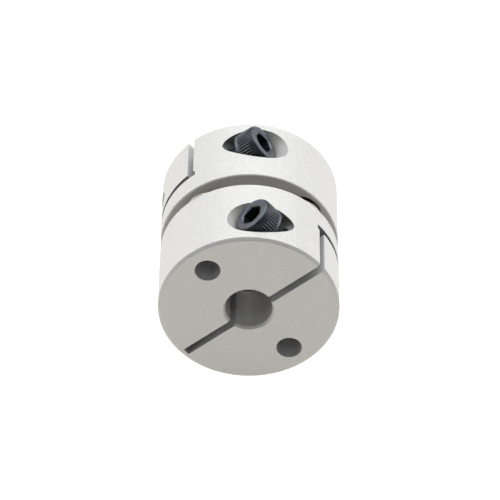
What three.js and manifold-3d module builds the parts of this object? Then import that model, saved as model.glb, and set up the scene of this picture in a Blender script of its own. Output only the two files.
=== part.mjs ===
// Single-disc flexible shaft coupling with two split clamp hubs.
//
// Millimetres, +Z up. The coupling lies on its side: its axis runs along +Y, from the end face
// of hub A at the origin to the end face of hub B. Each hub is built in a local frame of its
// own, with X along its slit, Y along the axis from the end face inwards, and Z along its clamp
// screw, towards the screw's head. The two hubs are the same part, turned end for end.

import * as THREE from 'three';
import { mergeVertices } from 'three/addons/utils/BufferGeometryUtils.js';
import Module from 'manifold-3d';

const wasm = await Module();
wasm.setup();

// Hub body.
const HUB_DIAMETER = 19;
const HUB_LENGTH = 9.1;
const HUB_GAP = 1.6;
const BORE_DIAMETER = 5;
const END_CHAMFER = 0.3;
const GAP_CHAMFER = 0.12;
const BORE_CHAMFER = 0.25;

// Angle of hub A's slit from +X towards +Z. Hub B's slit is its mirror image, a quarter turn on.
const SLIT_ANGLE = Math.PI / 4;

// The slit frees one half of the hub as a jaw. One wall is on the bore's centre plane, and the
// cut stops short of the far side, where a thin web is left for the jaw to flex on.
const SLIT_WIDTH = 0.82;
const SLIT_WEB = 0.66;

// Cross cut that parts the jaw from the flange behind it.
const CROSS_CUT_NEAR = 5.9;
const CROSS_CUT_WIDTH = 0.65;
const CROSS_CUT_OVERRUN = 0.25;

// Clamp screw, its counterbore and its tapped hole.
const CLAMP_OFFSET = 6.45;
const CLAMP_FROM_END = 3.55;
const CLAMP_SEAT = 3.2;
const COUNTERBORE_DIAMETER = 4.8;
const CLAMP_CLEARANCE_DIAMETER = 2.9;
const CLAMP_TAPPED_DIAMETER = 2.5;
const CLAMP_SHANK_DIAMETER = 2.3;
const CLAMP_SHANK_LENGTH = 8;
const CLAMP_HEAD_DIAMETER = 4.3;
const CLAMP_HEAD_HEIGHT = 2.4;
const CLAMP_HEX = 2;
const CLAMP_HEX_DEPTH = 1.3;
const CLAMP_BACKED_OUT = { a: 1.95, b: 1.65 };

// Bolts that hold the disc pack, two to each hub, and the key holes that reach them.
const BOLT_RADIUS_FROM_AXIS = 6.75;
const BOLT_SHANK_DIAMETER = 1.8;
const BOLT_TAPPED_DIAMETER = 2;
const BOLT_HEAD_DIAMETER = 3.6;
const BOLT_HEAD_HEIGHT = 1.3;
const BOLT_HEX = 1.3;
const BOLT_HEX_DEPTH = 0.8;
const BOLT_THREAD_IN_HUB = 2.1;
const KEY_HOLE_DIAMETER = 2.7;
const HEAD_RECESS_DIAMETER = 4.7;
const HEAD_RECESS_DEPTH = 1.9;

// Disc pack and the rings that clamp it. The rings keep a small running gap to the leaves, so
// that the pack can tilt about either pair of bolts.
const LEAF_COUNT = 4;
const LEAF_THICKNESS = 0.1;
const LEAF_BORE_DIAMETER = 6.8;
const LEAF_EAR_RADIUS = 2.35;
const LEAF_WAIST = 0.35;
const LEAF_HOLE_DIAMETER = 2.2;
const PACK_CLEARANCE = 0.05;
const COLLAR_DIAMETER = 3.6;
const WASHER_DIAMETER = 4.2;
const WASHER_THICKNESS = 0.25;
const RING_HOLE_DIAMETER = 2;

// Facets of round shapes.
const HUB_SIDES = 64;
const BORE_SIDES = 32;
const HEAD_SIDES = 24;
const HOLE_SIDES = 16;

// How far a cutting shape runs past the surface that it opens.
const OVERSHOOT = 1;

const HUB_RADIUS = HUB_DIAMETER / 2;
const COUPLING_LENGTH = 2 * HUB_LENGTH + HUB_GAP;
const PACK_THICKNESS = LEAF_COUNT * LEAF_THICKNESS;
const PACK_NEAR = HUB_LENGTH + (HUB_GAP - PACK_THICKNESS) / 2;
const PACK_FAR = PACK_NEAR + PACK_THICKNESS;

const MATERIALS = {
  aluminium: { color: 0xd8d6d1, roughness: 0.55, metalness: 0.7 },
  blackSteel: { color: 0x2b2c31, roughness: 0.45, metalness: 0.6 },
  springSteel: { color: 0xb7aa98, roughness: 0.3, metalness: 1 },
  brightSteel: { color: 0xa9a8a6, roughness: 0.35, metalness: 1 },
};

function part(name, geometry, materialName) {
  const material = new THREE.MeshStandardMaterial(MATERIALS[materialName]);
  material.name = materialName;
  const mesh = new THREE.Mesh(geometry, material);
  mesh.name = name;
  return mesh;
}

// Turns a closed three.js geometry into a solid that can be cut.
function toSolid(geometry) {
  const bare = geometry.clone();
  bare.deleteAttribute('normal');
  bare.deleteAttribute('uv');
  const merged = mergeVertices(bare, 1e-4);
  return new wasm.Manifold(new wasm.Mesh({
    numProp: 3,
    vertProperties: new Float32Array(merged.attributes.position.array),
    triVerts: new Uint32Array(merged.index.array),
  }));
}

function toGeometry(solid) {
  const { vertProperties, triVerts } = solid.getMesh();
  const geometry = new THREE.BufferGeometry();
  geometry.setAttribute('position', new THREE.BufferAttribute(vertProperties, 3));
  geometry.setIndex(new THREE.BufferAttribute(triVerts, 1));
  geometry.computeVertexNormals();
  return geometry;
}

function cutAway(body, cutters) {
  return toGeometry(cutters.reduce((rest, cutter) => rest.subtract(toSolid(cutter)), toSolid(body)));
}

// Solid of revolution about Y. The profile's [radius, y] corners run bottom to top outside.
function turned(corners, sides) {
  const profile = corners.map(([radius, y]) => new THREE.Vector2(radius, y));
  return new THREE.LatheGeometry(profile, sides);
}

function ring(innerRadius, outerRadius, bottom, top, sides) {
  const corners = [
    [innerRadius, bottom],
    [outerRadius, bottom],
    [outerRadius, top],
    [innerRadius, top],
    [innerRadius, bottom],
  ];
  return turned(corners, sides);
}

// Round cutter along Y from bottom to top, centred on (x, z).
function holeAlongAxis(diameter, bottom, top, x, z, sides = HOLE_SIDES) {
  const cutter = new THREE.CylinderGeometry(diameter / 2, diameter / 2, top - bottom, sides);
  return cutter.translate(x, (bottom + top) / 2, z);
}

// Round cutter along Z from low to high, on the clamp screw's axis.
function holeAlongClamp(diameter, low, high, sides) {
  const cutter = new THREE.CylinderGeometry(diameter / 2, diameter / 2, high - low, sides);
  cutter.rotateX(Math.PI / 2);
  return cutter.translate(CLAMP_OFFSET, CLAMP_FROM_END, (low + high) / 2);
}

function box(low, high) {
  const size = high.map((value, i) => value - low[i]);
  const middle = high.map((value, i) => (value + low[i]) / 2);
  return new THREE.BoxGeometry(...size).translate(...middle);
}

function hexPrism(acrossFlats, bottom, top) {
  const hex = new THREE.CylinderGeometry(
    acrossFlats / Math.sqrt(3), acrossFlats / Math.sqrt(3), top - bottom, 6);
  return hex.translate(0, (bottom + top) / 2, 0);
}

function hubBlank() {
  const bore = BORE_DIAMETER / 2;
  const corners = [
    [bore + BORE_CHAMFER, 0],
    [HUB_RADIUS - END_CHAMFER, 0],
    [HUB_RADIUS, END_CHAMFER],
    [HUB_RADIUS, HUB_LENGTH - GAP_CHAMFER],
    [HUB_RADIUS - GAP_CHAMFER, HUB_LENGTH],
    [bore + BORE_CHAMFER, HUB_LENGTH],
    [bore, HUB_LENGTH - BORE_CHAMFER],
    [bore, BORE_CHAMFER],
    [bore + BORE_CHAMFER, 0],
  ];
  return turned(corners, HUB_SIDES);
}

// Slit across the bore and the cross cut behind the jaw, which is the half below Z = 0.
function jawCuts() {
  const crossCutFar = CROSS_CUT_NEAR + CROSS_CUT_WIDTH;
  const past = HUB_RADIUS + OVERSHOOT;
  const slit = box([SLIT_WEB - HUB_RADIUS, -OVERSHOOT, -SLIT_WIDTH], [past, crossCutFar, 0]);
  const crossCut = box([-past, CROSS_CUT_NEAR, -past], [past, crossCutFar, CROSS_CUT_OVERRUN]);
  return [slit, crossCut];
}

function clampHoles() {
  const past = HUB_RADIUS + OVERSHOOT;
  return [
    holeAlongClamp(COUNTERBORE_DIAMETER, CLAMP_SEAT, past, BORE_SIDES),
    holeAlongClamp(CLAMP_CLEARANCE_DIAMETER, -SLIT_WIDTH / 2, CLAMP_SEAT + OVERSHOOT, HOLE_SIDES),
    holeAlongClamp(CLAMP_TAPPED_DIAMETER, -past, -SLIT_WIDTH / 2, HOLE_SIDES),
  ];
}

// Tapped holes for the hub's own two disc bolts, and key holes with a head recess for the two
// bolts of the other hub.
function discBoltHoles() {
  const past = HUB_LENGTH + OVERSHOOT;
  const recessFloor = HUB_LENGTH - HEAD_RECESS_DEPTH;
  return [-1, 1].flatMap((side) => {
    const at = side * BOLT_RADIUS_FROM_AXIS;
    return [
      holeAlongAxis(BOLT_TAPPED_DIAMETER, CROSS_CUT_NEAR + CROSS_CUT_WIDTH / 2, past, at, 0),
      holeAlongAxis(KEY_HOLE_DIAMETER, -OVERSHOOT, past, 0, at, HEAD_SIDES),
      holeAlongAxis(HEAD_RECESS_DIAMETER, recessFloor, past, 0, at, HEAD_SIDES),
    ];
  });
}

function hub(hubName) {
  const cutters = [...jawCuts(), ...clampHoles(), ...discBoltHoles()];
  return part(`hub_${hubName}`, cutAway(hubBlank(), cutters), 'aluminium');
}

// Socket head screw along Y: the head's underside is at Y = 0 and its shank runs to -length.
function socketScrew(shankDiameter, length, headDiameter, headHeight, hexSize, hexDepth) {
  const shank = shankDiameter / 2;
  const head = headDiameter / 2;
  const edge = headHeight * 0.08;
  const corners = [
    [0, -length],
    [shank * 0.75, -length],
    [shank, -length + shank * 0.3],
    [shank, 0],
    [head - edge / 2, 0],
    [head, edge / 2],
    [head, headHeight - edge],
    [head - edge, headHeight],
    [0, headHeight],
  ];
  const socket = hexPrism(hexSize, headHeight - hexDepth, headHeight + OVERSHOOT);
  return cutAway(turned(corners, HEAD_SIDES), [socket]);
}

// Clamp screw, backed out of its seat as the coupling is shipped.
function clampScrew(hubName) {
  const geometry = socketScrew(CLAMP_SHANK_DIAMETER, CLAMP_SHANK_LENGTH, CLAMP_HEAD_DIAMETER,
    CLAMP_HEAD_HEIGHT, CLAMP_HEX, CLAMP_HEX_DEPTH);
  geometry.rotateX(Math.PI / 2);
  geometry.translate(CLAMP_OFFSET, CLAMP_FROM_END, CLAMP_SEAT + CLAMP_BACKED_OUT[hubName]);
  return part(`clamp_screw_${hubName}`, geometry, 'blackSteel');
}

// One bolt of a hub, with the collar between the hub and the leaves and the washer under its
// head, at side -1 or 1 along the slit.
function boltSet(hubName, number, side) {
  const at = side * BOLT_RADIUS_FROM_AXIS;
  const washerNear = PACK_FAR + PACK_CLEARANCE;
  const washerFar = washerNear + WASHER_THICKNESS;
  const bolt = socketScrew(BOLT_SHANK_DIAMETER, washerFar - HUB_LENGTH + BOLT_THREAD_IN_HUB,
    BOLT_HEAD_DIAMETER, BOLT_HEAD_HEIGHT, BOLT_HEX, BOLT_HEX_DEPTH);
  const hole = RING_HOLE_DIAMETER / 2;
  const collar = ring(hole, COLLAR_DIAMETER / 2, HUB_LENGTH, PACK_NEAR - PACK_CLEARANCE, HEAD_SIDES);
  const washer = ring(hole, WASHER_DIAMETER / 2, washerNear, washerFar, HEAD_SIDES);
  return [
    part(`disc_bolt_${hubName}${number}`, bolt.translate(at, washerFar, 0), 'blackSteel'),
    part(`spacer_collar_${hubName}${number}`, collar.translate(at, 0, 0), 'brightSteel'),
    part(`bolt_washer_${hubName}${number}`, washer.translate(at, 0, 0), 'brightSteel'),
  ];
}

// Leaf outline: a round ear about each bolt hole, joined by sides that bow slightly inwards.
function leafOutline() {
  const outline = new THREE.Shape();
  for (let ear = 0; ear < 4; ear += 1) {
    const angle = (ear + 0.5) * Math.PI / 2;
    const x = BOLT_RADIUS_FROM_AXIS * Math.cos(angle);
    const y = BOLT_RADIUS_FROM_AXIS * Math.sin(angle);
    outline.absarc(x, y, LEAF_EAR_RADIUS, angle - Math.PI / 4, angle + Math.PI / 4, false);
    const side = angle + Math.PI / 4;
    const reach = BOLT_RADIUS_FROM_AXIS * Math.SQRT1_2 + LEAF_EAR_RADIUS - LEAF_WAIST;
    const spread = LEAF_EAR_RADIUS;
    const along = new THREE.Vector2(-Math.sin(side), Math.cos(side));
    const out = new THREE.Vector2(Math.cos(side), Math.sin(side));
    for (const step of [-spread, spread]) {
      outline.lineTo(out.x * reach + along.x * step, out.y * reach + along.y * step);
    }
  }
  outline.closePath();
  return outline;
}

function leaf(name, index) {
  const outline = leafOutline();
  const addHole = (x, y, diameter) => {
    outline.holes.push(new THREE.Path().absarc(x, y, diameter / 2, 0, 2 * Math.PI, true));
  };
  addHole(0, 0, LEAF_BORE_DIAMETER);
  for (let ear = 0; ear < 4; ear += 1) {
    const angle = (ear + 0.5) * Math.PI / 2;
    addHole(BOLT_RADIUS_FROM_AXIS * Math.cos(angle), BOLT_RADIUS_FROM_AXIS * Math.sin(angle),
      LEAF_HOLE_DIAMETER);
  }
  const options = { depth: LEAF_THICKNESS, bevelEnabled: false, curveSegments: 9 };
  const geometry = new THREE.ExtrudeGeometry(outline, options);
  geometry.rotateX(-Math.PI / 2);
  geometry.translate(0, PACK_NEAR + index * LEAF_THICKNESS, 0);
  return part(name, geometry, 'springSteel');
}

// Everything that is fixed to one hub, turned so that its slit is at SLIT_ANGLE.
function hubAssembly(hubName) {
  const group = new THREE.Group();
  group.add(hub(hubName), clampScrew(hubName));
  group.add(...boltSet(hubName, 1, 1), ...boltSet(hubName, 2, -1));
  group.rotation.y = -SLIT_ANGLE;
  return group;
}

const sideA = new THREE.Group();
sideA.add(hubAssembly('a'));

const sideB = new THREE.Group();
sideB.add(hubAssembly('b'));
sideB.rotation.z = Math.PI;
sideB.position.y = COUPLING_LENGTH;

const discPack = new THREE.Group();
for (let index = 0; index < LEAF_COUNT; index += 1) {
  discPack.add(leaf(`disc_leaf_${index + 1}`, index));
}

const coupling = new THREE.Group();
coupling.add(sideA, discPack, sideB);

export default coupling;
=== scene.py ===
"""Single-disc flexible coupling with two split clamp hubs: the visual model around the CAD frame.

The frame is in metres, and the coupling's axis runs along +Y from the end face of hub A at the
origin. Pieces are built in millimetres. A hub and what is fixed to it are built in a local frame
with X along the hub's slit, Y along the axis from the end face inwards and Z along the clamp screw
towards its head. place() turns a piece into the frame's axes and metres.
"""

import math
from collections import namedtuple

import bmesh
import bpy
from mathutils import Matrix, Vector


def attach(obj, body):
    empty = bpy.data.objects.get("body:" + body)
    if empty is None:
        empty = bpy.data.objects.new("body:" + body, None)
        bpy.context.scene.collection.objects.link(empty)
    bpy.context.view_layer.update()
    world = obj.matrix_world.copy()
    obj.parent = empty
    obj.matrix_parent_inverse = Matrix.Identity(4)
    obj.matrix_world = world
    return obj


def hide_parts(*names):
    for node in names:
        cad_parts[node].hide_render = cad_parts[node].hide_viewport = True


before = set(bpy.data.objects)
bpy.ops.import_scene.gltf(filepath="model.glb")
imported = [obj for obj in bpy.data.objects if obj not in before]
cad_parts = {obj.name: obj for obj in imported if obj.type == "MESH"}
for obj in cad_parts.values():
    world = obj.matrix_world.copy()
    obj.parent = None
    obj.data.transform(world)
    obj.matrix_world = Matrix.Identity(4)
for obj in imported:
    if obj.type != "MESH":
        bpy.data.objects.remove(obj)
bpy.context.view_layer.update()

MM = 0.001
QUARTER_TURN = math.pi / 2

# Hub body. CROSS_CUT_OVERRUN is how far the cross cut reaches past the slit.
HUB_RADIUS = 9.5
HUB_LENGTH = 9.1
HUB_GAP = 1.6
COUPLING_LENGTH = 2 * HUB_LENGTH + HUB_GAP
BORE_RADIUS = 2.5
END_CHAMFER = 0.3
GAP_CHAMFER = 0.12
BORE_CHAMFER = 0.25
HUB_EDGE = 0.035
SLIT_WIDTH = 0.82
SLIT_WEB = 0.66
CROSS_CUT_NEAR = 5.9
CROSS_CUT_FAR = 6.55
CROSS_CUT_OVERRUN = 0.25

# Clamp screw's place and hole. At rest the screws are backed out, as in the photo.
CLAMP_OFFSET = 6.45
CLAMP_FROM_END = 3.55
CLAMP_SEAT = 3.2
COUNTERBORE_RADIUS = 2.4
CLAMP_CLEARANCE_RADIUS = 1.45
CLAMP_TAPPED_RADIUS = 1.25
CLAMP_BACKED_OUT = {"a": 1.95, "b": 1.65}
CLAMP_HEX_TURN = {"a": math.radians(28), "b": 0.0}

# Disc bolts' places and holes. Each tapped hole starts a little inside the cross cut, and each
# hub's key holes let a key through to the other hub's bolts.
BOLT_AT = 6.75
BOLT_THREAD_IN_HUB = 2.1
BOLT_TAPPED_RADIUS = 1.0
BOLT_TAP_OVERLAP = 0.3
KEY_HOLE_RADIUS = 1.35
RECESS_RADIUS = 2.35
RECESS_DEPTH = 1.9

# Leaves, collars and washers.
LEAF_COUNT = 4
LEAF_THICKNESS = 0.1
LEAF_BORE_RADIUS = 3.4
LEAF_EAR_RADIUS = 2.35
LEAF_HOLE_RADIUS = 1.1
LEAF_EARS = 4
LEAF_WAIST = 0.35
LEAF_WAIST_POWER = 4
LEAF_EDGE = 0.02
PACK_CLEARANCE = 0.05
PACK_NEAR = HUB_LENGTH + (HUB_GAP - LEAF_COUNT * LEAF_THICKNESS) / 2
PACK_FAR = PACK_NEAR + LEAF_COUNT * LEAF_THICKNESS
RING_HOLE_RADIUS = 1.0
RING_EDGE = 0.04
COLLAR_RADIUS = 1.8
WASHER_RADIUS = 2.1
WASHER_THICKNESS = 0.25
WASHER_LOW = PACK_FAR + PACK_CLEARANCE
WASHER_HIGH = WASHER_LOW + WASHER_THICKNESS

# Socket screws. plain is the unthreaded length under the head, and the knurl's heights are from
# the head's underside.
Screw = namedtuple(
    "Screw", "thread_radius pitch length plain head_radius head_height "
    "hex_size hex_depth knurl_low knurl_high knurl_count knurl_depth")
CLAMP_SCREW = Screw(
    thread_radius=1.21, pitch=0.45, length=8.0, plain=0.35, head_radius=2.15, head_height=2.4,
    hex_size=2.08, hex_depth=1.3, knurl_low=0.36, knurl_high=1.55, knurl_count=42,
    knurl_depth=0.17)
DISC_BOLT = Screw(
    thread_radius=0.97, pitch=0.4, length=WASHER_HIGH - HUB_LENGTH + BOLT_THREAD_IN_HUB,
    plain=0.3, head_radius=1.8, head_height=1.3, hex_size=1.3, hex_depth=0.8, knurl_low=0.22,
    knurl_high=0.8, knurl_count=36, knurl_depth=0.08)

# Thread. Depth and start are in pitches. Across half a pitch the ridge's height, as a share of its
# depth, is THREAD_CREST - THREAD_FLANK * distance, held between 0 and 1.
THREAD_DEPTH = 0.54
THREAD_CREST = 1.7
THREAD_FLANK = 1.9
THREAD_START = 0.9
THREAD_START_HEIGHT = 0.25
THREAD_ROWS_PER_TURN = 10
SHANK_INTO_HEAD = 0.3

# Head. HEAD_EDGE and HEAD_CROWN are shares of its height, and CROWN_INSET of the crown's.
HEAD_EDGE = 0.035
HEAD_CROWN = 0.2
CROWN_INSET = 0.62
BAND_STEP = 0.03
RIB_END_OUTER = 0.03
RIB_END_INNER = 0.05
RIB_END_BAND = 0.06

# Socket. DRILL_RADIUS and DRILL_TIP are shares of the hexagon's size. The lead's ends are given
# from the hexagon's corners and from the head's top.
DRILL_RADIUS = 0.47
DRILL_TIP = 0.22
DRILL_TIP_RADIUS = 0.02
DRILL_OVERLAP = 0.02
LEAD_LOW = (-0.05, -0.13)
LEAD_HIGH = (0.17, 0.03)

# Points around and along the rounded shapes.
HUB_STEPS = 288
ROUND_STEPS = 96
SHANK_STEPS = 64
DRILL_STEPS = 48
STEPS_PER_RIB = 8
HEAD_EDGE_STEPS = 4
CROWN_STEPS = 8
HEX_STEPS = 6
LEAF_BORE_STEPS = 128
LEAF_HOLE_STEPS = 64
EAR_STEPS = 32
WAIST_STEPS = 16
HUB_CORNER_STEPS = 3
RING_CORNER_STEPS = 4
BEVEL_SEGMENTS = 2

# Cutting and cleaning. BEYOND is how far a cutter runs past what it cuts. Angles are in degrees.
BEYOND = 1
CORNER_ROOM = 2.01
WELD_DISTANCE = 1e-6
MERGE_IN_HUB = 0.004
MERGE_AT_EDGES = 0.06
MERGE_IN_SCREW = 0.002
MERGE_IN_OUTLINE = 0.01
SHORTEST_EDGE = 0.002
HUB_SHARP = 32
SCREW_SHARP = 35
THIN_SHARP = 40

# Which faces of a hub count as turned, flat, or part of a cut.
TINY = 1e-6
ON_RADIUS = 0.002
ON_PLANE = 0.001
FLAT_AREA = 0.4
NEAR = 0.01
MARGIN = 0.02
FACING = 0.7
ENDWISE = 0.5
CHAMFER_LEAN = (0.3, 0.95)

# Which faces of a screw are painted lighter: its ribs' tops and its crown's top, as a painted
# highlight, and its rim under the knurl.
RIM_MARGIN = 0.04
RIM_DEPTH = 0.2
HIGHLIGHT_RIB_DEPTH = 0.3
HIGHLIGHT_CROWN_SHARE = 0.15

# Finishes of a hub's faces, and of a screw's: places in the lists ALUMINIUM and BLACK. The deep
# cross
#  cut's, the chamfer's and the socket's are darker copies painted as shade, and the screw's
#  lighter faces a lighter copy painted as highlight.
BLASTED, DRILLED, SAWN, SHADED_DEEP_CUT, SHADED_CHAMFER = range(5)
PLAIN, PAINTED_SOCKET_SHADE, PAINTED_HIGHLIGHT = range(3)

# From a hub's local frame to the frame's axes.
HUB_TURN = Matrix.Rotation(math.radians(-45), 4, "Y")
PLACE = {
    "a": HUB_TURN,
    "b": (Matrix.Translation((0, COUPLING_LENGTH, 0)) @ Matrix.Rotation(math.pi, 4, "Z")
          @ HUB_TURN),
}


# ---------------------------------------------------------------- meshes

def new_object(name, bm):
    mesh = bpy.data.meshes.new(name)
    bmesh.ops.recalc_face_normals(bm, faces=bm.faces)
    bm.to_mesh(mesh)
    bm.free()
    obj = bpy.data.objects.new(name, mesh)
    bpy.context.scene.collection.objects.link(obj)
    return obj


def surface_grid(rows, radius_at, steps, closed_ends=True):
    """Closed solid about Y. rows are (radius, y) from one end to the other, and
    radius_at(radius, y, angle) may move a point in or out."""
    bm = bmesh.new()
    rings = []
    for radius, y in rows:
        ring = []
        for i in range(steps):
            angle = 2 * math.pi * i / steps
            r = radius_at(radius, y, angle) if radius_at else radius
            ring.append(bm.verts.new((r * math.cos(angle), y, r * math.sin(angle))))
        rings.append(ring)
    for lower, upper in zip(rings, rings[1:]):
        for i in range(steps):
            j = (i + 1) % steps
            bm.faces.new((lower[i], lower[j], upper[j], upper[i]))
    if closed_ends:
        bm.faces.new(rings[0])
        bm.faces.new(rings[-1])
    return bm


def tube(profile, steps):
    """Closed ring-shaped solid about Y from a closed profile of (radius, y)."""
    bm = surface_grid(list(profile) + [profile[0]], None, steps, closed_ends=False)
    bmesh.ops.remove_doubles(bm, verts=bm.verts, dist=WELD_DISTANCE)
    return bm


def rounded(corners, radius, steps):
    """A closed profile with each of its corners rounded. A corner takes less than half of each
    side beside it."""
    points = []
    count = len(corners)
    for i, corner in enumerate(corners):
        here = Vector(corner)
        before = Vector(corners[i - 1]) - here
        after = Vector(corners[(i + 1) % count]) - here
        r = min(radius, before.length / CORNER_ROOM, after.length / CORNER_ROOM)
        start = here + before.normalized() * r
        end = here + after.normalized() * r
        for k in range(steps + 1):
            t = k / steps
            p = start * (1 - t) ** 2 + here * 2 * t * (1 - t) + end * t ** 2
            points.append((p.x, p.y))
    return points


def cylinder(radius, low, high, steps=ROUND_STEPS):
    return surface_grid([(radius, low), (radius, high)], None, steps)


def box(low, high):
    bm = bmesh.new()
    bmesh.ops.create_cube(bm, size=1)
    for v in bm.verts:
        v.co = Vector([(a + b) / 2 + c * (b - a) for a, b, c in zip(low, high, v.co)])
    return bm


def moved(bm, matrix):
    bmesh.ops.transform(bm, matrix=matrix, verts=bm.verts)
    return bm


def half_step(steps):
    """Turns a shape by half a facet, so that none of its edges lies in a cutter's plane."""
    return Matrix.Rotation(math.pi / steps, 4, "Y")


def boolean(obj, cutter_bm, operation="DIFFERENCE"):
    cutter = new_object("cutter", cutter_bm)
    modifier = obj.modifiers.new("cut", "BOOLEAN")
    modifier.operation = operation
    modifier.solver = "EXACT"
    modifier.object = cutter
    apply_modifiers(obj)
    bpy.data.objects.remove(cutter)


def apply_modifiers(obj):
    depsgraph = bpy.context.evaluated_depsgraph_get()
    mesh = bpy.data.meshes.new_from_object(obj.evaluated_get(depsgraph))
    old = obj.data
    obj.modifiers.clear()
    obj.data = mesh
    bpy.data.meshes.remove(old)


def bevel(obj, width, angle):
    """Bevels the edges sharper than angle, as wide as width or as their neighbours leave room."""
    modifier = obj.modifiers.new("edge", "BEVEL")
    modifier.width = width
    modifier.segments = BEVEL_SEGMENTS
    modifier.limit_method = "ANGLE"
    modifier.angle_limit = math.radians(angle)
    modifier.use_clamp_overlap = True
    modifier.miter_outer = "MITER_ARC"
    apply_modifiers(obj)


def sharp_edges(bm, angle):
    """The edges of bm between two faces that meet at more than angle."""
    limit = math.radians(angle)
    return [e for e in bm.edges if len(e.link_faces) == 2 and e.calc_face_angle(0) > limit]


def smooth(obj, angle):
    """Smooth shading, with the edges sharper than angle kept sharp."""
    for polygon in obj.data.polygons:
        polygon.use_smooth = True
    bm = bmesh.new()
    bm.from_mesh(obj.data)
    for edge in bm.edges:
        edge.smooth = True
    for edge in sharp_edges(bm, angle):
        edge.smooth = False
    bm.to_mesh(obj.data)
    bm.free()


def merge_close(obj, distance, beside_edges=None):
    """Joins points closer than distance: all of them, or only those on edges sharper than an
    angle. Then edges too short to see are dissolved."""
    bm = bmesh.new()
    bm.from_mesh(obj.data)
    verts = list(bm.verts)
    if beside_edges is not None:
        sharp = sharp_edges(bm, beside_edges)
        verts = list(dict.fromkeys(v for e in sharp for v in e.verts))
    bmesh.ops.remove_doubles(bm, verts=verts, dist=distance)
    bmesh.ops.dissolve_degenerate(bm, edges=bm.edges, dist=SHORTEST_EDGE)
    bm.to_mesh(obj.data)
    bm.free()


def true_normals(hub):
    """Gives the hub's turned outside and its flat faces their exact normals, so that the narrow
    faces beside them don't tint their shading."""
    mesh = hub.data
    normals = [Vector(corner.vector) for corner in mesh.corner_normals]
    for polygon in mesh.polygons:
        corners = [mesh.vertices[index].co for index in polygon.vertices]
        turned = min(math.hypot(co.x, co.z) for co in corners) > HUB_RADIUS - ON_RADIUS
        on_end = all(abs(co.y) < ON_PLANE for co in corners)
        on_end = on_end or all(abs(co.y - HUB_LENGTH) < ON_PLANE for co in corners)
        flat = polygon.area > FLAT_AREA or on_end
        for loop in polygon.loop_indices:
            if turned:
                co = mesh.vertices[mesh.loops[loop].vertex_index].co
                normals[loop] = Vector((co.x, 0, co.z)).normalized()
            elif flat:
                normals[loop] = Vector(polygon.normal)
    mesh.normals_split_custom_set(normals)


def place(obj, matrix):
    obj.data.transform(Matrix.Scale(MM, 4) @ matrix)
    obj.data.update()


# ---------------------------------------------------------------- pieces

def finish_of(polygon):
    """Which of a hub's finishes a face takes, in the hub's local frame. The floor of the
    counterbore is finished like the slit."""
    centre, normal = polygon.center, polygon.normal
    off_axis = math.hypot(centre.x, centre.z)
    inside = off_axis < HUB_RADIUS - MARGIN
    in_slit = -SLIT_WIDTH - NEAR < centre.z < NEAR and abs(normal.z) > FACING
    in_cross_cut = CROSS_CUT_NEAR - NEAR < centre.y < CROSS_CUT_FAR + NEAR
    on_seat = abs(centre.z - CLAMP_SEAT) < NEAR and normal.z > FACING
    # The cross cut's faces take a much darker copy of the sawn finish: painted shade deep in the
    # narrow cut.
    if inside and in_cross_cut:
        return SHADED_DEEP_CUT
    if inside and (in_slit or on_seat):
        return SAWN
    # The outer chamfers take a darker copy of the outer finish: painted shade, so that the lit
    # chamfer is as dark as the end face.
    if off_axis > HUB_RADIUS - END_CHAMFER and CHAMFER_LEAN[0] < abs(normal.y) < CHAMFER_LEAN[1]:
        return SHADED_CHAMFER
    if abs(normal.y) > ENDWISE:
        return BLASTED
    wells = [(0, 0, BORE_RADIUS), (0, BOLT_AT, RECESS_RADIUS), (0, -BOLT_AT, RECESS_RADIUS),
             (BOLT_AT, 0, BOLT_TAPPED_RADIUS), (-BOLT_AT, 0, BOLT_TAPPED_RADIUS)]
    for x, z, radius in wells:
        if x and centre.y < CROSS_CUT_FAR:
            continue
        arm = Vector((centre.x - x, centre.z - z))
        inwards = -(normal.x * arm.x + normal.z * arm.y) / max(arm.length, TINY)
        if arm.length < radius + MARGIN and inwards > FACING:
            return DRILLED
    return BLASTED


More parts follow.
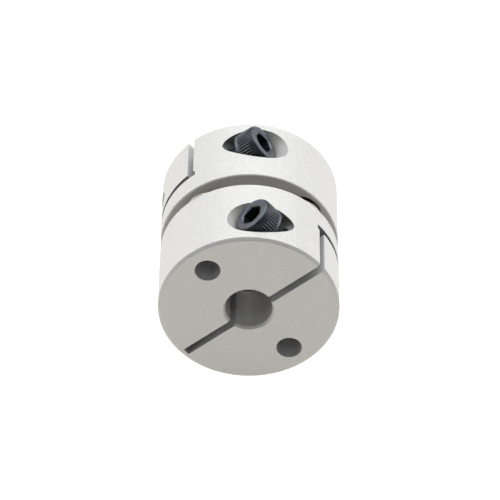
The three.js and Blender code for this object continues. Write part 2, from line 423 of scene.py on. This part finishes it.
def hub_body(side):
    outer = rounded([
        (BORE_RADIUS, BORE_CHAMFER),
        (BORE_RADIUS + BORE_CHAMFER, 0),
        (HUB_RADIUS - END_CHAMFER, 0),
        (HUB_RADIUS, END_CHAMFER),
        (HUB_RADIUS, HUB_LENGTH - GAP_CHAMFER),
        (HUB_RADIUS - GAP_CHAMFER, HUB_LENGTH),
        (BORE_RADIUS + BORE_CHAMFER, HUB_LENGTH),
        (BORE_RADIUS, HUB_LENGTH - BORE_CHAMFER),
    ], HUB_EDGE, HUB_CORNER_STEPS)
    hub = new_object("hub_body_" + side, moved(tube(outer, HUB_STEPS), half_step(HUB_STEPS)))
    past = HUB_RADIUS + BEYOND
    slit_end = (CROSS_CUT_NEAR + CROSS_CUT_FAR) / 2
    cut_boxes = [
        ((SLIT_WEB - HUB_RADIUS, -BEYOND, -SLIT_WIDTH), (past, slit_end, 0)),
        ((-past, CROSS_CUT_NEAR, -past), (past, CROSS_CUT_FAR, CROSS_CUT_OVERRUN)),
    ]
    for low, high in cut_boxes:
        boolean(hub, box(low, high))

    along_clamp = (Matrix.Translation((CLAMP_OFFSET, CLAMP_FROM_END, 0))
                   @ Matrix.Rotation(QUARTER_TURN, 4, "X") @ half_step(ROUND_STEPS))
    for radius, low, high in [
        (COUNTERBORE_RADIUS, CLAMP_SEAT, past),
        (CLAMP_CLEARANCE_RADIUS, -SLIT_WIDTH / 2, CLAMP_SEAT + BEYOND),
        (CLAMP_TAPPED_RADIUS, -past, -SLIT_WIDTH / 2),
    ]:
        boolean(hub, moved(cylinder(radius, low, high), along_clamp))

    inner = HUB_LENGTH + BEYOND
    for at in (-BOLT_AT, BOLT_AT):
        holes = [
            (BOLT_TAPPED_RADIUS, CROSS_CUT_FAR - BOLT_TAP_OVERLAP, inner, (at, 0, 0)),
            (KEY_HOLE_RADIUS, -BEYOND, inner, (0, 0, at)),
            (RECESS_RADIUS, HUB_LENGTH - RECESS_DEPTH, inner, (0, 0, at)),
        ]
        for radius, low, high, centre in holes:
            matrix = Matrix.Translation(centre) @ half_step(ROUND_STEPS)
            boolean(hub, moved(cylinder(radius, low, high), matrix))

    merge_close(hub, MERGE_IN_HUB)
    merge_close(hub, MERGE_AT_EDGES, HUB_SHARP)
    bevel(hub, HUB_EDGE, HUB_SHARP)
    for vertex in hub.data.vertices:
        vertex.co.y = min(max(vertex.co.y, 0), HUB_LENGTH)
    smooth(hub, HUB_SHARP)
    true_normals(hub)
    for polygon in hub.data.polygons:
        polygon.material_index = finish_of(polygon)
    place(hub, PLACE[side])
    return hub


def between(low, value, high):
    return min(high, max(low, value))


def screw_shank(spec):
    """The threaded shank along Y, from -length up into the head."""
    depth = THREAD_DEPTH * spec.pitch
    core = spec.thread_radius - depth

    def shank_radius(radius, y, angle):
        if y > -spec.plain:
            return radius
        phase = ((y / spec.pitch - angle / (2 * math.pi)) % 1) * 2
        crest = between(0, THREAD_CREST - THREAD_FLANK * abs(phase - 1), 1)
        started = between(0, (y + spec.length) / (THREAD_START * spec.pitch), 1)
        top = core + depth * (THREAD_START_HEIGHT + (1 - THREAD_START_HEIGHT) * started)
        threaded = min(top, core + depth * crest)
        run_out = between(0, (-spec.plain - y) / spec.pitch, 1)
        return threaded * run_out + radius * (1 - run_out)

    span = spec.length - spec.plain
    count = int(round(span / spec.pitch * THREAD_ROWS_PER_TURN))
    rows = [(spec.thread_radius, -spec.length + span * k / count) for k in range(count + 1)]
    rows.append((spec.thread_radius, SHANK_INTO_HEAD))
    return surface_grid(rows, shank_radius, SHANK_STEPS)


def screw_head(spec):
    """The head, its underside at Y = 0: a plain band, the knurl, a plain band and a crown."""
    band = spec.head_radius - BAND_STEP
    edge = spec.head_height * HEAD_EDGE
    crown = spec.head_height * HEAD_CROWN
    inset = crown * CROWN_INSET
    rib_low = spec.knurl_low + RIB_END_INNER
    rib_high = spec.knurl_high - RIB_END_INNER

    profile = []
    for k in range(HEAD_EDGE_STEPS + 1):
        a = QUARTER_TURN * k / HEAD_EDGE_STEPS
        profile.append((band - edge + edge * math.sin(a), edge - edge * math.cos(a)))
    profile += [
        (band, spec.knurl_low - RIB_END_BAND),
        (band, spec.knurl_low - RIB_END_OUTER),
        (spec.head_radius, rib_low),
        (spec.head_radius, rib_high),
        (band, spec.knurl_high + RIB_END_OUTER),
        (band, spec.knurl_high + RIB_END_BAND),
    ]
    for k in range(CROWN_STEPS + 1):
        a = QUARTER_TURN * k / CROWN_STEPS
        profile.append((band - inset + inset * math.cos(a),
                        spec.head_height - crown + crown * math.sin(a)))

    def ribs(radius, y, angle):
        if y not in (rib_low, rib_high):
            return radius
        return radius - spec.knurl_depth * (1 - abs(math.cos(angle * spec.knurl_count / 2)))

    return surface_grid(profile, ribs, spec.knurl_count * STEPS_PER_RIB)


def socket_screw(name, spec):
    """Socket head cap screw along Y: the head's underside is at Y = 0, its shank runs to
    -length."""
    screw = new_object(name, screw_shank(spec))
    boolean(screw, screw_head(spec), "UNION")
    top = spec.head_height
    floor_at = top - spec.hex_depth
    corner = spec.hex_size / math.sqrt(3)
    boolean(screw, surface_grid([
        (DRILL_TIP_RADIUS, floor_at - spec.hex_size * DRILL_TIP),
        (spec.hex_size * DRILL_RADIUS, floor_at + DRILL_OVERLAP)], None, DRILL_STEPS))
    boolean(screw, cylinder(corner, floor_at, top + BEYOND, HEX_STEPS))
    boolean(screw, surface_grid([
        (corner + LEAD_LOW[0], top + LEAD_LOW[1]),
        (corner + LEAD_HIGH[0], top + LEAD_HIGH[1])], None, ROUND_STEPS))
    merge_close(screw, MERGE_IN_SCREW)
    smooth(screw, SCREW_SHARP)

    highlight_rib_radius = spec.head_radius - HIGHLIGHT_RIB_DEPTH * spec.knurl_depth
    highlight_crown_low = top - HIGHLIGHT_CROWN_SHARE * (top * HEAD_CROWN)
    for polygon in screw.data.polygons:
        y = polygon.center.y
        off_axis = math.hypot(polygon.center.x, polygon.center.z)
        on_rib = spec.knurl_low < y < spec.knurl_high and off_axis > highlight_rib_radius
        on_rim = 0 < y < spec.knurl_low - RIM_MARGIN and off_axis > spec.head_radius - RIM_DEPTH
        # The socket takes a darker copy of the black oxide: painted shade in the recess.
        if off_axis < corner - NEAR and 0 < y < top - MARGIN:
            polygon.material_index = PAINTED_SOCKET_SHADE
        # The ribs' tops and the crown's top take a lighter copy: a painted highlight. The rim
        # under the knurl takes it too.
        elif y > highlight_crown_low or on_rib or on_rim:
            polygon.material_index = PAINTED_HIGHLIGHT
        else:
            polygon.material_index = PLAIN
    return screw


def clamp_screw(side):
    screw = socket_screw("clamp_cap_screw_" + side, CLAMP_SCREW)
    head_at = (CLAMP_OFFSET, CLAMP_FROM_END, CLAMP_SEAT + CLAMP_BACKED_OUT[side])
    along_clamp = (Matrix.Translation(head_at) @ Matrix.Rotation(QUARTER_TURN, 4, "X")
                   @ Matrix.Rotation(CLAMP_HEX_TURN[side], 4, "Y"))
    place(screw, PLACE[side] @ along_clamp)
    return screw


def disc_bolt(tag, side, at):
    bolt = socket_screw("disc_cap_screw_" + tag, DISC_BOLT)
    place(bolt, PLACE[side] @ Matrix.Translation((at, WASHER_HIGH, 0)))
    return bolt


def ring(name, side, at, outer, low, high):
    """A collar or washer around a disc bolt."""
    profile = rounded([
        (RING_HOLE_RADIUS, low), (outer, low), (outer, high), (RING_HOLE_RADIUS, high),
    ], RING_EDGE, RING_CORNER_STEPS)
    obj = new_object(name, tube(profile, ROUND_STEPS))
    smooth(obj, THIN_SHARP)
    place(obj, PLACE[side] @ Matrix.Translation((at, 0, 0)))
    return obj


def ear_angle(ear):
    return (ear + 0.5) * QUARTER_TURN


def leaf_outline():
    """Four round ears, joined by sides that bow in between them."""
    half_side = BOLT_AT * math.sqrt(0.5)
    reach = half_side + LEAF_EAR_RADIUS - LEAF_WAIST
    points = []
    for ear in range(LEAF_EARS):
        angle = ear_angle(ear)
        centre = Vector((BOLT_AT * math.cos(angle), BOLT_AT * math.sin(angle)))
        for k in range(EAR_STEPS + 1):
            a = angle - QUARTER_TURN / 2 + QUARTER_TURN * k / EAR_STEPS
            points.append(centre + LEAF_EAR_RADIUS * Vector((math.cos(a), math.sin(a))))
        side = angle + QUARTER_TURN / 2
        along = Vector((-math.sin(side), math.cos(side)))
        out = Vector((math.cos(side), math.sin(side)))
        for k in range(WAIST_STEPS + 1):
            t = k / WAIST_STEPS * 2 - 1
            bow = LEAF_WAIST * (1 - t ** LEAF_WAIST_POWER)
            points.append(out * (reach + LEAF_WAIST - bow) + along * (t * half_side))
    clean = []
    for p in points:
        if not clean or (p - clean[-1]).length > MERGE_IN_OUTLINE:
            clean.append(p)
    return clean


def leaf(index):
    """One spring-steel leaf, stamped with a bore and four holes, its edges slightly rounded."""
    bm = bmesh.new()
    base = bm.faces.new([bm.verts.new((p.x, 0, -p.y)) for p in leaf_outline()])
    bmesh.ops.recalc_face_normals(bm, faces=[base])
    result = bmesh.ops.extrude_face_region(bm, geom=[base])
    verts = [v for v in result["geom"] if isinstance(v, bmesh.types.BMVert)]
    bmesh.ops.translate(bm, verts=verts, vec=(0, LEAF_THICKNESS, 0))
    obj = new_object(f"spring_leaf_{index + 1}", bm)
    bore = cylinder(LEAF_BORE_RADIUS, -BEYOND, BEYOND, LEAF_BORE_STEPS)
    boolean(obj, moved(bore, half_step(LEAF_BORE_STEPS)))
    for ear in range(LEAF_EARS):
        angle = ear_angle(ear)
        centre = (BOLT_AT * math.cos(angle), 0, BOLT_AT * math.sin(angle))
        hole = cylinder(LEAF_HOLE_RADIUS, -BEYOND, BEYOND, LEAF_HOLE_STEPS)
        boolean(obj, moved(hole, Matrix.Translation(centre)))
    bevel(obj, LEAF_EDGE, THIN_SHARP)
    smooth(obj, THIN_SHARP)
    place(obj, Matrix.Translation((0, PACK_NEAR + index * LEAF_THICKNESS, 0)))
    return obj


# ---------------------------------------------------------------- materials

# The anodised hubs' tint, and how much finer than elsewhere tool marks are along each axis.
WARM = (1, 0.977, 0.943)
CUTTING = (1, 7, 1)
ROLLED = (1, 1, 12)
TURNING = (1, 14, 1)


class Surface:
    """A node material: noise in the object's own space, ramped into the Principled shader. Noise
    scales and bump distances go with a mesh in metres."""

    def __init__(self, name, metallic=0.0):
        self.material = bpy.data.materials.new(name)
        self.material.use_nodes = True
        self.nodes = self.material.node_tree.nodes
        self.links = self.material.node_tree.links
        self.inputs = self.nodes["Principled BSDF"].inputs
        self.inputs["Metallic"].default_value = metallic

    def noise(self, scale, detail, roughness=0.5, stretch=None):
        source = self.nodes.new("ShaderNodeTexCoord").outputs["Object"]
        if stretch:
            mapping = self.nodes.new("ShaderNodeMapping")
            mapping.inputs["Scale"].default_value = stretch
            self.links.new(source, mapping.inputs["Vector"])
            source = mapping.outputs["Vector"]
        node = self.nodes.new("ShaderNodeTexNoise")
        node.inputs["Scale"].default_value = scale
        node.inputs["Detail"].default_value = detail
        node.inputs["Roughness"].default_value = roughness
        self.links.new(source, node.inputs["Vector"])
        return node.outputs["Fac"]

    def ramp(self, value, low, high):
        """Turns a noise into a colour or a grey. low and high are (position, colour)."""
        node = self.nodes.new("ShaderNodeValToRGB")
        for element, (position, colour) in zip(node.color_ramp.elements, (low, high)):
            element.position = position
            element.color = (*colour, 1) if isinstance(colour, tuple) else (colour,) * 3 + (1,)
        self.links.new(value, node.inputs["Fac"])
        return node.outputs["Color"]

    def bump(self, value, strength, distance, after=None):
        node = self.nodes.new("ShaderNodeBump")
        node.inputs["Strength"].default_value = strength
        node.inputs["Distance"].default_value = distance
        self.links.new(value, node.inputs["Height"])
        if after is not None:
            self.links.new(after, node.inputs["Normal"])
        return node.outputs["Normal"]

    def half_of_each(self, a, b):
        node = self.nodes.new("ShaderNodeMix")
        node.data_type = "RGBA"
        enabled = {socket.name: socket for socket in node.inputs if socket.enabled}
        enabled["Factor"].default_value = 0.5
        self.links.new(a, enabled["A"])
        self.links.new(b, enabled["B"])
        return next(socket for socket in node.outputs if socket.enabled)

    def finish(self, colour, roughness, normal):
        self.links.new(colour, self.inputs["Base Color"])
        self.links.new(roughness, self.inputs["Roughness"])
        self.links.new(normal, self.inputs["Normal"])
        return self.material


def hub_material(name, level):
    """Blasted and clear-anodised aluminium. level scales its brightness, and a level below 1
    paints shade.
    """
    def warm(grey):
        return tuple(grey * level * part for part in WARM)

    surface = Surface(name, metallic=0.35)
    grain = surface.noise(scale=5600, detail=4, roughness=0.75)
    cloud = surface.noise(scale=1100, detail=5, roughness=0.6)
    tone = surface.ramp(grain, (0.34, warm(0.42)), (0.66, warm(0.69)))
    shade = surface.ramp(cloud, (0.3, warm(0.54)), (0.7, warm(0.60)))
    fine = surface.bump(grain, strength=0.35, distance=0.00002)
    return surface.finish(
        surface.half_of_each(tone, shade),
        surface.ramp(cloud, (0.25, 0.56), (0.75, 0.66)),
        surface.bump(cloud, strength=0.15, distance=0.00004, after=fine))


def cut_material(name, dark, light, metallic):
    """Bare metal left by a drill or saw, with fine tool marks."""
    surface = Surface(name, metallic)
    marks = surface.noise(scale=2600, detail=3, roughness=0.6, stretch=CUTTING)
    cloud = surface.noise(scale=1500, detail=4, roughness=0.6)
    return surface.finish(
        surface.ramp(cloud, (0.3, dark), (0.7, light)),
        surface.ramp(marks, (0.3, 0.36), (0.7, 0.5)),
        surface.bump(marks, strength=0.3, distance=0.00002))


def screw_material(name, dark, light):
    """Black oxide on steel, mottled between dark and light."""
    surface = Surface(name, metallic=0.8)
    grain = surface.noise(scale=7000, detail=3, roughness=0.6)
    cloud = surface.noise(scale=1300, detail=4, roughness=0.6)
    return surface.finish(
        surface.ramp(cloud, (0.3, dark), (0.75, light)),
        surface.ramp(grain, (0.3, 0.42), (0.7, 0.56)),
        surface.bump(grain, strength=0.3, distance=0.00002))


def leaf_material():
    """Rolled spring steel, with fine streaks in one direction."""
    surface = Surface("spring_steel", metallic=1.0)
    rolled = surface.noise(scale=2500, detail=3, stretch=ROLLED)
    cloud = surface.noise(scale=700, detail=3)
    return surface.finish(
        surface.ramp(cloud, (0.3, (0.40, 0.36, 0.31)), (0.7, (0.50, 0.455, 0.395))),
        surface.ramp(rolled, (0.3, 0.24), (0.7, 0.36)),
        surface.bump(rolled, strength=0.2, distance=0.00001))


def ring_material():
    """Turned steel, with fine rings from the lathe."""
    surface = Surface("turned_steel", metallic=1.0)
    turned = surface.noise(scale=1500, detail=2, stretch=TURNING)
    cloud = surface.noise(scale=900, detail=3)
    return surface.finish(
        surface.ramp(cloud, (0.3, (0.34, 0.335, 0.33)), (0.7, (0.45, 0.445, 0.44))),
        surface.ramp(turned, (0.3, 0.28), (0.7, 0.42)),
        surface.bump(turned, strength=0.25, distance=0.00001))


# In the order of the finishes above.
ALUMINIUM = [
    hub_material("hub_aluminium", level=1),
    cut_material("drilled_aluminium", dark=0.63, light=0.73, metallic=0.5),
    cut_material("sawn_aluminium", dark=0.57, light=0.69, metallic=0.5),
    # Painted shade: a much darker copy of the sawn finish, for the deep cross cut.
    cut_material("deep_sawn_painted_shade_aluminium", dark=0.28, light=0.36, metallic=0.6),
    # Painted shade: a darker copy of the outer finish, for the outer chamfers.
    hub_material("chamfer_painted_shade_aluminium", level=0.82),
]
BLACK = [
    screw_material("black_oxide_steel",
                   dark=(0.030, 0.031, 0.038), light=(0.052, 0.054, 0.064)),
    # Painted shade: a darker copy of the black oxide, for inside the hex socket.
    screw_material("black_oxide_socket_painted_shade",
                   dark=(0.022, 0.022, 0.028), light=(0.040, 0.041, 0.050)),
    # Painted highlight: a lighter copy, for the ribs' tops and the crown's top, and also for the
    # rim under the knurl.
    screw_material("black_oxide_painted_highlight",
                   dark=(0.090, 0.093, 0.109), light=(0.136, 0.140, 0.162)),
]
SPRING = [leaf_material()]
TURNED = [ring_material()]


def dress(obj, mats, body, slot, *nodes):
    """Gives a piece its materials, and says which body it rides on and which node it replaces."""
    indices = [polygon.material_index for polygon in obj.data.polygons]
    obj.data.materials.clear()
    for mat in mats:
        obj.data.materials.append(mat)
    obj.data.polygons.foreach_set("material_index", indices)
    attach(obj, body)
    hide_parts(*nodes)


for side in "ab":
    hub_name = "hub_" + side
    clamp_name = "clamp_screw_" + side
    dress(hub_body(side), ALUMINIUM, hub_name, "hub_aluminium", hub_name)
    dress(clamp_screw(side), BLACK, clamp_name, "black_screw_steel", clamp_name)
    for number, at in ((1, BOLT_AT), (2, -BOLT_AT)):
        tag = f"{side}{number}"
        bolt = disc_bolt(tag, side, at)
        dress(bolt, BLACK, hub_name, "black_screw_steel", "disc_bolt_" + tag)
        collar = ring("collar_ring_" + tag, side, at, COLLAR_RADIUS,
                      HUB_LENGTH, PACK_NEAR - PACK_CLEARANCE)
        dress(collar, TURNED, hub_name, "ring_steel", "spacer_collar_" + tag)
        flat = ring("flat_washer_" + tag, side, at, WASHER_RADIUS, WASHER_LOW, WASHER_HIGH)
        dress(flat, TURNED, hub_name, "ring_steel", "bolt_washer_" + tag)

for index in range(LEAF_COUNT):
    dress(leaf(index), SPRING, "disc_pack", "disc_spring_steel", f"disc_leaf_{index + 1}")


# ---------------------------------------------------------------- stage, light and camera

# Lengths from here on are in metres, apart from the camera's lens and sensor in millimetres.
FLOOR_HALF_WIDTH = 3
FLOOR_COLOUR = (0.2, 0.2, 0.2, 1)
FLOOR_ROUGHNESS = 0.8
FLOOR_SPECULAR = 0.1
FLOOR_GLOW = (1, 0.972, 0.934, 1)
FLOOR_GLOW_STRENGTH = 1.07
ROOM_COLOUR = (1, 1, 1, 1)
ROOM_GLOW = 0.01

# Name, place, size, power in watts and colour.
LIGHTS = [
    ("top", (0.0, 0.22, 0.45), (0.7, 0.55), 4.0, (0.95, 0.977, 1)),
    ("front", (0.0, -0.22, 0.45), (0.4, 0.2), 0.3, (0.97, 0.985, 1)),
    ("left", (-0.45, 0.15, 0.22), (0.4, 0.5), 1.68, (0.97, 0.988, 1)),
    ("right", (0.45, 0.15, 0.22), (0.4, 0.5), 1.68, (0.97, 0.988, 1)),
]
LIGHTS_AIM = Vector((0, COUPLING_LENGTH / 2 * MM, 0))

CAMERA_AT = Vector((-20.995, -258.630, 217.728)) * MM
CAMERA_AIM = Vector((0.083, 9.871, -0.027)) * MM
CAMERA_ROLL = math.radians(7.618)
CAMERA_LENS = 233.56
CAMERA_SENSOR = 36
CAMERA_CLIP = (0.01, 20)


def floor():
    bm = bmesh.new()
    bmesh.ops.create_grid(bm, x_segments=1, y_segments=1, size=FLOOR_HALF_WIDTH)
    obj = new_object("floor", bm)
    obj.location = (0, 0, -HUB_RADIUS * MM)
    surface = Surface("pale_floor")
    surface.inputs["Base Color"].default_value = FLOOR_COLOUR
    surface.inputs["Roughness"].default_value = FLOOR_ROUGHNESS
    surface.inputs["Specular IOR Level"].default_value = FLOOR_SPECULAR
    surface.inputs["Emission Color"].default_value = FLOOR_GLOW
    surface.inputs["Emission Strength"].default_value = FLOOR_GLOW_STRENGTH
    obj.data.materials.append(surface.material)


def looking(start, end):
    """The turn of a light or camera at start that looks at end."""
    return (end - start).to_track_quat("-Z", "Y")


def area_light(name, at, size, power, colour):
    data = bpy.data.lights.new(name, "AREA")
    data.shape = "RECTANGLE"
    data.size, data.size_y = size
    data.energy = power
    data.color = colour
    obj = bpy.data.objects.new(name, data)
    obj.location = at
    obj.rotation_euler = looking(Vector(at), LIGHTS_AIM).to_euler()
    bpy.context.scene.collection.objects.link(obj)


floor()
for light in LIGHTS:
    area_light(*light)

world = bpy.data.worlds.new("studio")
world.use_nodes = True
background = world.node_tree.nodes["Background"]
background.inputs["Color"].default_value = ROOM_COLOUR
background.inputs["Strength"].default_value = ROOM_GLOW
bpy.context.scene.world = world
bpy.context.scene.view_settings.view_transform = "Standard"

camera_data = bpy.data.cameras.new("camera")
camera_data.lens = CAMERA_LENS
camera_data.sensor_width = CAMERA_SENSOR
camera_data.clip_start, camera_data.clip_end = CAMERA_CLIP
camera = bpy.data.objects.new("camera", camera_data)
camera.location = CAMERA_AT
turn = looking(CAMERA_AT, CAMERA_AIM).to_matrix().to_4x4()
camera.rotation_euler = (turn @ Matrix.Rotation(CAMERA_ROLL, 4, "Z")).to_euler()
bpy.context.scene.collection.objects.link(camera)
bpy.context.scene.camera = camera
